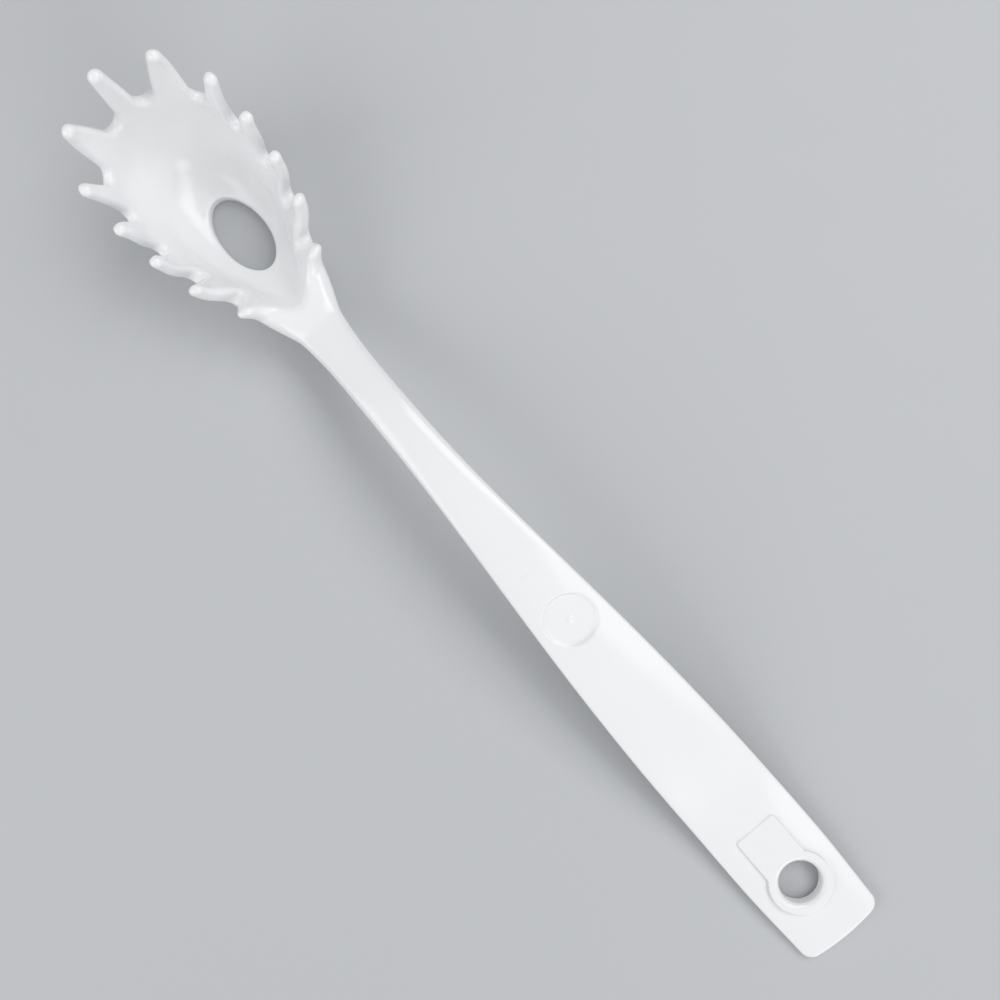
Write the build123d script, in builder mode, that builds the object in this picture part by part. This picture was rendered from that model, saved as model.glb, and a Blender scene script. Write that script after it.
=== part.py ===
from build123d import *
import math
import os

os.makedirs("parts", exist_ok=True)

# A pasta server, moulded in one piece of white plastic and lying bowl up, as it rests on a worktop.
# +X runs from the handle to the bowl, +Z is up, and the server is alike on both sides of the XZ plane.
# The origin is on the worktop, midway between the front tooth and the end of the handle.
# The moulding has no parts that come off, so its nodes are its regions, which meet face to face.
# All sizes are in millimetres and all angles in degrees.

# Overall sizes
overall_length = 301.0
bowl_length = 74.0
bowl_width = 47.5
bowl_height = 48.3
wall = 2.8

# Drain hole in the floor of the bowl
drain_length = 24.7
drain_width = 13.9
drain_setback = 37.9

# Teeth
tooth_tip_width = 2.6
tooth_gap = 3.0
tooth_reach = 9.0
tooth_waist_share = 0.30

# Handle
neck_width = 12.2
grip_width = 28.6
arch_height = 26.4
grip_crown = 1.3
neck_crown = 1.5
grip_depth = 2.2
neck_depth = 5.0
side_inset = 0.9
handle_edge_radius = 0.6

# End of the handle, with the hanging hole
tail_length = 46.0
tail_slope = 4.0
tail_end_width = 26.6
tail_taper_length = 24.0
tail_corner_radius = 3.4
tail_end_bulge = 0.6
tail_foot_depth = 0.3
hanging_hole_diameter = 12.2
hanging_hole_inset = 21.2
collar_diameter = 18.4
collar_lip = 0.9
panel_width = 13.4
panel_reach = 20.4
panel_step = 0.75
panel_slope = 2.0
panel_corner_radius = 0.8

# Round recess where the plastic was fed in, behind the middle of the grip, with the nub it left
recess_diameter = 14.6
recess_depth = 1.1
recess_setback = 16.9
nub_diameter = 1.6
nub_height = 0.3

# Length of the neck behind the bowl, and how much of the grip behind it is the rear of the grip
neck_length = 31.0
grip_rear_share = 0.62

# How far a cutting body runs past what it cuts
overrun = 5.0

front_x = overall_length / 2
end_x = -overall_length / 2
half_bowl = bowl_width / 2
tip_radius = tooth_tip_width / 2

# The outside of the bowl at a row of heights. Each row holds the height as a share of the bowl's height,
# how far the front and the rear of the outline stand behind the front tooth as shares of its length,
# half the width as a share of half the bowl's width, how far along the outline is widest, how full it
# is at the shoulder near the rear and at the haunch near the front, and how upright the wall stands,
# from 0 for flat to 1 for upright.
level_shares = [
    (0.000, 0.281, 0.736, 0.415, 0.50, 0.80, 0.80, 0.00),
    (0.025, 0.236, 0.790, 0.530, 0.53, 0.76, 0.80, 0.45),
    (0.082, 0.185, 0.865, 0.625, 0.60, 0.67, 0.80, 0.78),
    (0.185, 0.138, 0.939, 0.705, 0.66, 0.63, 0.80, 0.90),
    (0.287, 0.105, 0.986, 0.775, 0.70, 0.66, 0.82, 0.94),
    (0.411, 0.078, 1.033, 0.865, 0.74, 0.67, 0.83, 0.96),
    (0.616, 0.045, 1.073, 0.930, 0.73, 0.65, 0.81, 0.98),
    (0.821, 0.020, 1.088, 1.010, 0.76, 0.77, 0.76, 0.99),
    (1.040, -0.004, 1.093, 1.025, 0.74, 0.84, 0.73, 1.00),
]
shoulder_share = 0.20
haunch_share = 0.60

# The rim's low points between the teeth, from the front to the neck: how far each stands behind the
# front tooth, how far to the side, and how high, as shares of the bowl's length, half width and height.
valley_shares = [
    (0.059, 0.244, 0.616),
    (0.161, 0.720, 0.544),
    (0.296, 0.783, 0.411),
    (0.439, 0.724, 0.339),
    (0.582, 0.560, 0.287),
    (0.733, 0.413, 0.257),
    (0.885, 0.316, 0.246),
]
rim_start_shares = (-0.060, 0.650)
rim_end_shares = (1.150, 0.290)

# The tips of the teeth on one side, in the same shares, from the front tooth to the neck
tip_shares = [
    (0.017, 0.000, 1.000),
    (0.082, 0.583, 0.950),
    (0.216, 0.909, 0.821),
    (0.361, 0.930, 0.698),
    (0.504, 0.867, 0.606),
    (0.652, 0.758, 0.523),
    (0.808, 0.581, 0.420),
]

# Handle sections at even steps from the tail, the first of them left out, to inside the bowl: how far
# each one's width is from the neck's to the grip's, how far its edge is up the arch, and how far its
# thickness and crown are from the neck's to the grip's.
station_shares = [
    (0.950, 0.360, 1.00),
    (0.835, 0.545, 1.00),
    (0.658, 0.716, 0.95),
    (0.434, 0.860, 0.85),
    (0.208, 0.958, 0.60),
    (0.050, 0.970, 0.30),
    (0.000, 0.848, 0.05),
    (0.104, 0.598, 0.00),
    (0.640, 0.398, 0.00),
]
last_station_share = 0.780


def bowl_outline(level, height, inset):
    """The outline of the bowl at one level, moved in by inset and laid at a height."""
    front, rear, width, widest, shoulder, haunch = level[1:7]
    x_front = front_x - front * bowl_length - inset
    x_rear = front_x - rear * bowl_length + inset
    run = x_front - x_rear
    half_width = width * half_bowl - inset
    x_widest = x_rear + widest * run
    x_haunch = x_widest + haunch_share * (x_front - x_widest)
    half = [
        (x_rear, 0),
        (x_rear + shoulder_share * run, shoulder * half_width),
        (x_widest, half_width),
        (x_haunch, haunch * half_width),
        (x_front, 0),
    ]
    other_half = [(x, -y) for x, y in half[-2:0:-1]]
    with BuildSketch(Plane.XY.offset(height)) as outline:
        with BuildLine():
            Spline(*half, *other_half, periodic=True)
        make_face()
    return outline.sketch


def rim_side_view(bottom):
    """Side view of what lies between the rim and a height below it."""
    rim = [rim_start_shares] + [(back, height) for back, side, height in valley_shares] + [rim_end_shares]
    points = [(front_x - back * bowl_length, height * bowl_height) for back, height in rim]
    with BuildSketch(Plane.XZ) as view:
        with BuildLine():
            Spline(*points)
            Polyline(points[-1], (points[-1][0], bottom), (points[0][0], bottom), points[0])
        make_face()
    return view.sketch


def head_point(shares):
    """A point of the bowl from its shares of length, half width and height."""
    back, side, height = shares
    return Vector(front_x - back * bowl_length, side * half_bowl, height * bowl_height)


def tooth_outline(near, far, tip):
    """Outline of a tooth seen square to its wall, between two low points of the rim and its tip."""
    along = Vector(far.X - near.X, far.Y - near.Y, 0)
    middle = Vector((near.X + far.X) / 2, (near.Y + far.Y) / 2, 0)
    half_base = (along.length - tooth_gap) / 2
    lean = (tip - middle).dot(along.normalized())
    nub = tip.Z - tip_radius
    root = min(near.Z, far.Z) - overrun
    wall_plane = Plane(origin=middle, x_dir=along, z_dir=Vector(along.Y, -along.X, 0))
    near_waist = (lean - tip_radius - tooth_waist_share * (half_base - tip_radius), (near.Z + nub) / 2)
    far_waist = (lean + tip_radius + tooth_waist_share * (half_base - tip_radius), (far.Z + nub) / 2)
    with BuildSketch(wall_plane) as outline:
        with BuildLine():
            ThreePointArc((-half_base, near.Z), near_waist, (lean - tip_radius, nub))
            ThreePointArc((lean - tip_radius, nub), (lean, nub + tip_radius), (lean + tip_radius, nub))
            ThreePointArc((lean + tip_radius, nub), far_waist, (half_base, far.Z))
            Polyline((half_base, far.Z), (half_base, root), (-half_base, root), (-half_base, near.Z))
        make_face()
    return outline.sketch


def handle_section(plane, width, edge_height, crown, depth):
    """One section of the handle: a crowned top with rounded edges, drawn-in sides, a flat underside."""
    half = width / 2
    foot = half - side_inset
    with BuildSketch(plane) as section:
        with BuildLine():
            ThreePointArc((-half, edge_height), (0, edge_height + crown), (half, edge_height))
            Polyline(
                (half, edge_height),
                (foot, edge_height - depth),
                (-foot, edge_height - depth),
                (-half, edge_height),
            )
        make_face()
        fillet(section.vertices().sort_by(Axis.Y)[-2:], handle_edge_radius)
    return section.sketch


def station_section(number):
    """One section of the handle between the tail and the bowl, counted from 1 next to the tail."""
    widening, arch, grip = station_shares[number - 1]
    along = last_station_share * number / len(station_shares)
    x = tail_x + along * (front_x - tail_x)
    width = neck_width + widening * (grip_width - neck_width)
    crown = neck_crown + grip * (grip_crown - neck_crown)
    depth = neck_depth + grip * (grip_depth - neck_depth)
    return handle_section(Plane.YZ.offset(x), width, arch * arch_height, crown, depth)


def top_point(body, x):
    """The highest point of a body at a place along its middle, and the direction its surface faces there."""
    hits = body.find_intersection_points(Axis((x, 0, arch_height + overrun), (0, 0, -1)))
    point, normal = max(hits, key=lambda hit: hit[0].Z)
    return point, normal if normal.Z > 0 else -normal


def finish(part, name):
    """Label a region and write it to its own file."""
    part.label = name
    export_step(part, f"parts/{name}.step")


tail_x = end_x + tail_length
hole_x = end_x + hanging_hole_inset
hole_radius = hanging_hole_diameter / 2
collar_radius = collar_diameter / 2
tail_edge_height = tail_length * math.tan(math.radians(tail_slope)) + grip_depth - tail_foot_depth

# Solid body of the bowl's outside, and the hollow inside it, both taller than the teeth
with BuildPart() as bowl_outside:
    loft([bowl_outline(level, level[0] * bowl_height, 0) for level in level_shares], ruled=True)

with BuildPart() as bowl_inside:
    inner_sections = []
    for level in level_shares:
        upright = level[-1]
        rise = wall * math.sqrt(1 - upright**2)
        inner_sections.append(bowl_outline(level, level[0] * bowl_height + rise, wall * upright))
    loft(inner_sections, ruled=True)

with BuildPart() as tall_wall:
    add(bowl_outside.part)
    add(bowl_inside.part, mode=Mode.SUBTRACT)

# Bowl, up to the rim that carries the teeth
with BuildPart() as bowl:
    add(tall_wall.part)
    extrude(rim_side_view(-overrun), amount=bowl_width, both=True, mode=Mode.INTERSECT)
    with BuildSketch(Plane.XY.offset(wall + overrun)):
        with Locations((front_x - drain_setback, 0)):
            Ellipse(drain_length / 2, drain_width / 2)
    extrude(amount=-(wall + 2 * overrun), mode=Mode.SUBTRACT)
finish(bowl.part, "bowl")

# Teeth: the front one, then six on each side, cut from the same wall above the rim
valleys = [head_point(shares) for shares in valley_shares]
tips = [head_point(shares) for shares in tip_shares]
first_valley_mirrored = Vector(valleys[0].X, -valleys[0].Y, valleys[0].Z)
tooth_ends = [first_valley_mirrored] + valleys
for number, tip in enumerate(tips):
    with BuildPart() as tooth:
        add(tall_wall.part)
        extrude(
            tooth_outline(tooth_ends[number], tooth_ends[number + 1], tip),
            amount=tooth_reach,
            both=True,
            mode=Mode.INTERSECT,
        )
        extrude(rim_side_view(-overrun), amount=bowl_width, both=True, mode=Mode.SUBTRACT)
    if number == 0:
        finish(tooth.part, "front_tooth")
        continue
    finish(tooth.part, f"left_tooth_{number}")
    with BuildPart() as right_tooth:
        add(mirror(tooth.part, about=Plane.XZ, mode=Mode.PRIVATE))
    finish(right_tooth.part, f"right_tooth_{number}")

# The whole handle from the tail to inside the bowl, before it is divided
tail_section = handle_section(Plane.YZ.offset(tail_x), grip_width, tail_edge_height, grip_crown, grip_depth)
with BuildPart() as whole_handle:
    stations = [station_section(number) for number in range(1, len(station_shares) + 1)]
    loft([tail_section] + stations)

neck_x = front_x - bowl_length - neck_length
middle_x = tail_x + grip_rear_share * (neck_x - tail_x)

# Neck, up to the outside of the bowl
with BuildPart() as neck:
    add(whole_handle.part)
    split(bisect_by=Plane.YZ.offset(neck_x), keep=Keep.TOP)
    add(bowl_outside.part, mode=Mode.SUBTRACT)
finish(neck.part, "neck")

# Front of the grip
with BuildPart() as grip_front:
    add(whole_handle.part)
    split(bisect_by=Plane.YZ.offset(neck_x), keep=Keep.BOTTOM)
    split(bisect_by=Plane.YZ.offset(middle_x), keep=Keep.TOP)
finish(grip_front.part, "grip_front")

# Rear of the grip, with the round recess and the nub in it
recess_point, recess_normal = top_point(whole_handle.part, middle_x - recess_setback)
recess_plane = Plane(
    origin=recess_point,
    x_dir=Vector(recess_normal.Z, 0, -recess_normal.X),
    z_dir=recess_normal,
)
with BuildPart() as grip_rear:
    add(whole_handle.part)
    split(bisect_by=Plane.YZ.offset(middle_x), keep=Keep.BOTTOM)
    with BuildSketch(recess_plane.offset(-recess_depth)):
        Circle(recess_diameter / 2)
    extrude(amount=recess_depth + overrun, mode=Mode.SUBTRACT)
    with BuildSketch(recess_plane.offset(-recess_depth)):
        Circle(nub_diameter / 2)
    extrude(amount=nub_height)
finish(grip_rear.part, "grip_rear")

# Outline of the end of the handle from above, with its rounded corners
end_half = tail_end_width / 2
taper = (grip_width - tail_end_width) / 2 / tail_taper_length
wide_half = end_half + taper * (tail_length + overrun)
corner_x = end_x + tail_end_bulge
with BuildSketch(Plane.XY) as tail_plan:
    with BuildLine():
        ThreePointArc((corner_x, -end_half), (end_x, 0), (corner_x, end_half))
        Polyline(
            (corner_x, end_half),
            (tail_x + overrun, wide_half),
            (tail_x + overrun, -wide_half),
            (corner_x, -end_half),
        )
    make_face()
    fillet(tail_plan.vertices().sort_by(Axis.X)[:2], tail_corner_radius)

# End of the handle, straight along its slope and flat where it rests on the worktop
tail_direction = Vector(-1, 0, 0).rotate(Axis.Y, -tail_slope)
with BuildPart() as hanging_end:
    extrude(tail_section, amount=tail_length + overrun, dir=tail_direction)
    extrude(tail_plan.sketch, amount=arch_height, mode=Mode.INTERSECT)
    with BuildSketch(Plane.XY):
        with Locations((hole_x, 0)):
            Circle(hole_radius)
    extrude(amount=arch_height, mode=Mode.SUBTRACT)

# The flat top shared by the collar round the hanging hole and the bare panel beside it
with BuildPart() as solid_tail:
    extrude(tail_section, amount=tail_length + overrun, dir=tail_direction)
hole_top = top_point(solid_tail.part, hole_x)[0] + Vector(0, 0, panel_step)
panel_plane = Plane(origin=hole_top).rotated((0, -panel_slope, 0))
seat_plane = Plane.XY.offset(hole_top.Z - panel_step - grip_crown)

# Raised collar round the hanging hole
with BuildPart() as hanging_collar:
    with BuildSketch(seat_plane):
        with Locations((hole_x, 0)):
            Circle(collar_radius)
            Circle(hole_radius, mode=Mode.SUBTRACT)
    extrude(amount=arch_height)
    split(bisect_by=panel_plane, keep=Keep.BOTTOM)
    add(hanging_end.part, mode=Mode.SUBTRACT)

# Bare panel between the collar and the grip
with BuildPart() as end_panel:
    with BuildSketch(seat_plane) as panel_plan:
        with Locations((hole_x + panel_reach / 2, 0)):
            Rectangle(panel_reach, panel_width)
        fillet(panel_plan.vertices().sort_by(Axis.X)[-2:], panel_corner_radius)
        with Locations((hole_x, 0)):
            Circle(collar_radius, mode=Mode.SUBTRACT)
    extrude(amount=arch_height)
    split(bisect_by=panel_plane, keep=Keep.BOTTOM)
    add(hanging_end.part, mode=Mode.SUBTRACT)
finish(end_panel.part, "end_panel")

# The funnel-shaped lip of the hanging hole, cut through the collar into the end of the handle
for region, name in ((hanging_end, "hanging_end"), (hanging_collar, "hanging_collar")):
    with region:
        with BuildSketch(Plane(origin=hole_top - Vector(0, 0, collar_lip))):
            Circle(hole_radius)
        with BuildSketch(Plane(origin=hole_top + Vector(0, 0, collar_lip))):
            Circle(hole_radius + 2 * collar_lip)
        loft(mode=Mode.SUBTRACT)
    finish(region.part, name)
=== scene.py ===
"""Looks of a one-piece moulded pasta server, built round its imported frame.

The server is one moulding in white gloss plastic, so its surface is made as one continuous field: the
signed distance to the plastic, in millimetres. The bowl, its teeth, the handle and the hanging end each
give their own part of the field, rounded edges and fillets included.

Four pieces show that surface and meet on plain sections of the handle: the head, the front grip, the rear
grip and the hanging end. The front grip is swept along the arch by Geometry Nodes, and its points then
settle on the field. The others are meshes of even quads, netted straight from the field.
"""

from __future__ import annotations

import logging
import math
from dataclasses import dataclass, field
from enum import Enum
from typing import Callable, Sequence

import bmesh
import bpy
import numpy as np
from mathutils import Matrix, Vector

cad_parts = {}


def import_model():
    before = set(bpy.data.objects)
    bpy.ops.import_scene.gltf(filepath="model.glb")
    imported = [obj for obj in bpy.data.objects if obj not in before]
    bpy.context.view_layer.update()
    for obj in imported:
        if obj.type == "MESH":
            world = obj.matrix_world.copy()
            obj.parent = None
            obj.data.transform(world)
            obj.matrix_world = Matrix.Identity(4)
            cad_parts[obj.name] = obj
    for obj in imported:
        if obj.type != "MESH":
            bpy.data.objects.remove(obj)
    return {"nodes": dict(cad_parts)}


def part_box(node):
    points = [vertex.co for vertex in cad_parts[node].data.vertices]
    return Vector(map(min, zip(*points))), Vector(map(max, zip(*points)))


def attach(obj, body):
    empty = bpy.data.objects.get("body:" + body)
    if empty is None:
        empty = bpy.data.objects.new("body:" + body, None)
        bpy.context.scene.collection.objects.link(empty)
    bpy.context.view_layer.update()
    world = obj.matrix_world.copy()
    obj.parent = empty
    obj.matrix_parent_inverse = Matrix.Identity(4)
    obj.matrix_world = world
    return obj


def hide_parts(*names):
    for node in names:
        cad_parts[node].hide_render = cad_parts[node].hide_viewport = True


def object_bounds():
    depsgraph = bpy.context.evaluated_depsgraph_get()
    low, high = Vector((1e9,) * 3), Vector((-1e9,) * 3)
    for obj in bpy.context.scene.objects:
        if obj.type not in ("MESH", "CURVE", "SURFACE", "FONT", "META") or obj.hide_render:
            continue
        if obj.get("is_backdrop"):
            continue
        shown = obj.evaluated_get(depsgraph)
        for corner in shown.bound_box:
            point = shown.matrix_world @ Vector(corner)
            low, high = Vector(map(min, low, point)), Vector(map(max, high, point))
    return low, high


LOG = logging.getLogger("pasta_server")

# One millimetre in metres
MM = 0.001

# A distance field: it takes the places along, across and up, in millimetres
Distance = Callable[[np.ndarray, np.ndarray, np.ndarray], np.ndarray]

# How many entries a reading keeps from the end of a table
TABLE_MARGIN = 1.001

# Share of a quad at which the slope of a field is probed
PROBE_SHARE = 0.05

# Share of a quad that a point may move in one pass
LONGEST_MOVE = 0.5

# Least squared slope by which a move is divided
LEAST_SLOPE = 0.25

# Length that stands for none where a limit is divided by a move's length
NO_LENGTH = 1e-9

# Sockets of a Mix node for colours: its share, its two colours and its output
MIX_SHARE, MIX_FIRST, MIX_SECOND, MIX_COLOUR = 0, 6, 7, 2


def round_max(a: np.ndarray, b: np.ndarray, radius: float) -> np.ndarray:
    """Keep what two fields share, with the edge between them rounded.

    Args:
        a: First distance field.
        b: Second distance field.
        radius: Radius of the rounded edge.

    Returns:
        The distance field of the shared part.
    """
    edge = np.hypot(np.maximum(a + radius, 0.0), np.maximum(b + radius, 0.0))
    return np.minimum(np.maximum(a, b), -radius) + edge


def round_min(a: np.ndarray, b: np.ndarray, radius: float) -> np.ndarray:
    """Join two fields, with the corner between them filleted.

    Args:
        a: First distance field.
        b: Second distance field.
        radius: Radius of the fillet.

    Returns:
        The distance field of the joined parts.
    """
    return -round_max(-a, -b, radius)


def ease(share: np.ndarray) -> np.ndarray:
    """A smooth rise from 0 to 1 while the share goes from 0 to 1."""
    held = np.clip(share, 0.0, 1.0)
    return held * held * (3 - 2 * held)


def nearer(first: np.ndarray, second: np.ndarray) -> np.ndarray:
    """Of two distances the one nearer to zero, or the first where they are alike."""
    return np.where(np.abs(second) < np.abs(first), second, first)


def read_table(table: np.ndarray, row: np.ndarray, column: np.ndarray) -> np.ndarray:
    """Read a table between its entries.

    Args:
        table: The table.
        row: Places along its first axis, counted in entries.
        column: Places along its second axis.

    Returns:
        The value at each place, blended from the four entries round it.
    """
    row = np.clip(row, 0.0, table.shape[0] - TABLE_MARGIN)
    column = np.clip(column, 0.0, table.shape[1] - TABLE_MARGIN)
    i, j = row.astype(int), column.astype(int)
    s, t = row - i, column - j
    low = table[i, j] * (1 - t) + table[i, j + 1] * t
    high = table[i + 1, j] * (1 - t) + table[i + 1, j + 1] * t
    return low * (1 - s) + high * s


def cubic_slopes(places: np.ndarray, values: np.ndarray, closed: bool) -> np.ndarray:
    """Slopes that make a cubic curve through the points bend as little as it can.

    Args:
        places: Where the points are, rising. A closed curve repeats its first point at the end.
        values: The value at each point.
        closed: True if the curve runs on from its end to its start.

    Returns:
        The slope at each point.
    """
    count = len(places)
    matrix, right = np.zeros((count, count)), np.zeros(count)
    gaps, rises = np.diff(places), np.diff(values)
    for row in range(1, count - 1):
        before, after = gaps[row - 1], gaps[row]
        matrix[row, row - 1 : row + 2] = 1 / before, 2 / before + 2 / after, 1 / after
        right[row] = 3 * (rises[row - 1] / before**2 + rises[row] / after**2)
    if closed:
        before, after = gaps[-1], gaps[0]
        matrix[0, 0], matrix[0, 1], matrix[0, -2] = 2 / before + 2 / after, 1 / after, 1 / before
        right[0] = 3 * (rises[-1] / before**2 + rises[0] / after**2)
        matrix[-1, 0], matrix[-1, -1] = -1, 1
    else:
        matrix[0, :2], right[0] = (2 / gaps[0], 1 / gaps[0]), 3 * rises[0] / gaps[0] ** 2
        matrix[-1, -2:], right[-1] = (1 / gaps[-1], 2 / gaps[-1]), 3 * rises[-1] / gaps[-1] ** 2
    return np.linalg.solve(matrix, right)


def cubic_through(
    places: Sequence[float], values: Sequence[float], wanted: np.ndarray, closed: bool = False
) -> np.ndarray:
    """Values of a smooth cubic curve through the points.

    Args:
        places: Where the points are, rising.
        values: The value at each point.
        wanted: Where the curve is read.
        closed: True if the curve runs on from its end to its start.

    Returns:
        The curve's values at the wanted places.
    """
    places, values = np.asarray(places, float), np.asarray(values, float)
    slopes = cubic_slopes(places, values, closed)
    start = np.clip(np.searchsorted(places, wanted, side="right") - 1, 0, len(places) - 2)
    gap = places[start + 1] - places[start]
    t = np.clip((wanted - places[start]) / gap, 0.0, 1.0)
    rise = values[start + 1] - values[start]
    one, two = slopes[start] * gap, slopes[start + 1] * gap
    return values[start] + one * t + (3 * rise - 2 * one - two) * t**2 + (one + two - 2 * rise) * t**3


@dataclass
class Profile:
    """A smooth value along the handle, read from a fine table.

    Attributes:
        places: Where the knots are along X, rising.
        values: The value at each knot.
        step: How far apart the table's entries are.
        table_x: Places of the entries.
        table_value: The value at each entry.
        table_slope: How fast the value changes there.
    """

    places: Sequence[float]
    values: Sequence[float]
    step: float = 0.25
    table_x: np.ndarray = field(init=False)
    table_value: np.ndarray = field(init=False)
    table_slope: np.ndarray = field(init=False)

    def __post_init__(self) -> None:
        """Work the table out once."""
        self.table_x = np.arange(self.places[0], self.places[-1] + self.step, self.step)
        self.table_value = cubic_through(self.places, self.values, self.table_x)
        self.table_slope = np.gradient(self.table_value, self.step)

    def at(self, x: np.ndarray) -> np.ndarray:
        """The value at each place."""
        return np.interp(x, self.table_x, self.table_value)

    def slope(self, x: np.ndarray) -> np.ndarray:
        """How fast the value changes at each place."""
        return np.interp(x, self.table_x, self.table_slope)


@dataclass(frozen=True)
class Level:
    """The bowl's outline at one height, in shares of the bowl's sizes.

    Attributes:
        height: Share of the bowl's height.
        front: How far the outline's front stands behind the front tooth.
        rear: How far its rear does.
        width: Its half width.
        widest: How far along the outline it is widest.
        shoulder: How full it is near the rear.
        haunch: How full it is near the front.
    """

    height: float
    front: float
    rear: float
    width: float
    widest: float
    shoulder: float
    haunch: float


# Outlines of the bowl, from its foot to above its rim
LEVELS = (
    Level(0.000, 0.281, 0.736, 0.415, 0.50, 0.80, 0.80),
    Level(0.025, 0.236, 0.790, 0.530, 0.53, 0.76, 0.80),
    Level(0.082, 0.185, 0.865, 0.625, 0.60, 0.67, 0.80),
    Level(0.185, 0.138, 0.939, 0.705, 0.66, 0.63, 0.80),
    Level(0.287, 0.105, 0.986, 0.775, 0.70, 0.66, 0.82),
    Level(0.411, 0.078, 1.033, 0.865, 0.74, 0.67, 0.83),
    Level(0.616, 0.045, 1.073, 0.930, 0.73, 0.65, 0.81),
    Level(0.821, 0.020, 1.088, 1.010, 0.76, 0.77, 0.79),
    Level(1.040, -0.004, 1.093, 1.025, 0.74, 0.84, 0.75),
)


class Bend(Enum):
    """Which way a round part of the rim bends."""

    TIP = 1.0
    VALLEY = -1.0


@dataclass(frozen=True)
class Round:
    """A round tip or valley of the rim, on the unrolled wall, in millimetres.

    Attributes:
        along: Place of its centre along the rim.
        height: Height of its centre.
        radius: Its radius.
        bend: Which way it bends.
    """

    along: float
    height: float
    radius: float
    bend: Bend

    def flank_normal(self, following: Round) -> tuple[float, float]:
        """Direction in which the straight flank from this round to the next one faces.

        Args:
            following: The next round.

        Returns:
            The direction's parts along the rim and upwards.
        """
        du, dz = following.along - self.along, following.height - self.height
        length, facing = math.hypot(du, dz), self.bend.value
        cosine = (self.radius + following.radius) / length
        sine = math.sqrt(1 - cosine**2)
        return (
            facing * (cosine * du / length) - sine * dz / length,
            facing * (cosine * dz / length) + sine * du / length,
        )

    def flank(
        self, following: Round, normal: tuple[float, float], u: np.ndarray, z: np.ndarray
    ) -> np.ndarray:
        """Distance to the straight flank from this round to the next one.

        Args:
            following: The next round.
            normal: Direction in which the flank faces.
            u: Places along the rim.
            z: Heights.

        Returns:
            The distances, infinite beyond the flank's ends.
        """
        start_u = self.along + self.bend.value * self.radius * normal[0]
        start_z = self.height + self.bend.value * self.radius * normal[1]
        length = math.hypot(following.along - self.along, following.height - self.height)
        run = math.sqrt(length**2 - (self.radius + following.radius) ** 2)
        along = (u - start_u) * normal[1] - (z - start_z) * normal[0]
        away = (u - start_u) * normal[0] + (z - start_z) * normal[1]
        return np.where((along >= 0) & (along <= run), away, np.inf)

    def arc(
        self, before: tuple[float, float], after: tuple[float, float], u: np.ndarray, z: np.ndarray
    ) -> np.ndarray:
        """Distance to the round itself, between the directions of the flanks on its two sides.

        Args:
            before: Direction in which the flank before it faces.
            after: Direction in which the flank after it faces.
            u: Places along the rim.
            z: Heights.

        Returns:
            The distances, infinite beyond the arc's ends.
        """
        facing = self.bend.value
        du, dz = (u - self.along) * facing, (z - self.height) * facing
        past_start = facing * (before[0] * dz - before[1] * du) <= 0
        before_end = facing * (after[0] * dz - after[1] * du) >= 0
        away = facing * (np.hypot(du, dz) - self.radius)
        return np.where(past_start & before_end, away, np.inf)


@dataclass(frozen=True)
class Spot:
    """A place on the bowl's rim.

    Attributes:
        back: How far behind the front tooth it is, as a share of the bowl's length.
        side: How far out, as a share of the bowl's half width.
        height: How high, as a share of the bowl's height.
    """

    back: float
    side: float
    height: float


# Valleys between the teeth, from the front to the rear
VALLEYS = (
    Spot(0.059, 0.244, 0.650),
    Spot(0.161, 0.720, 0.572),
    Spot(0.296, 0.783, 0.446),
    Spot(0.439, 0.724, 0.374),
    Spot(0.582, 0.560, 0.324),
    Spot(0.733, 0.413, 0.290),
    Spot(0.865, 0.290, 0.312),
)

# Tips of the teeth, in the same order
TIPS = (
    Spot(0.017, 0.000, 1.000),
    Spot(0.082, 0.583, 0.950),
    Spot(0.216, 0.909, 0.821),
    Spot(0.361, 0.930, 0.698),
    Spot(0.504, 0.867, 0.606),
    Spot(0.652, 0.758, 0.523),
    Spot(0.808, 0.581, 0.420),
)


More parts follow.
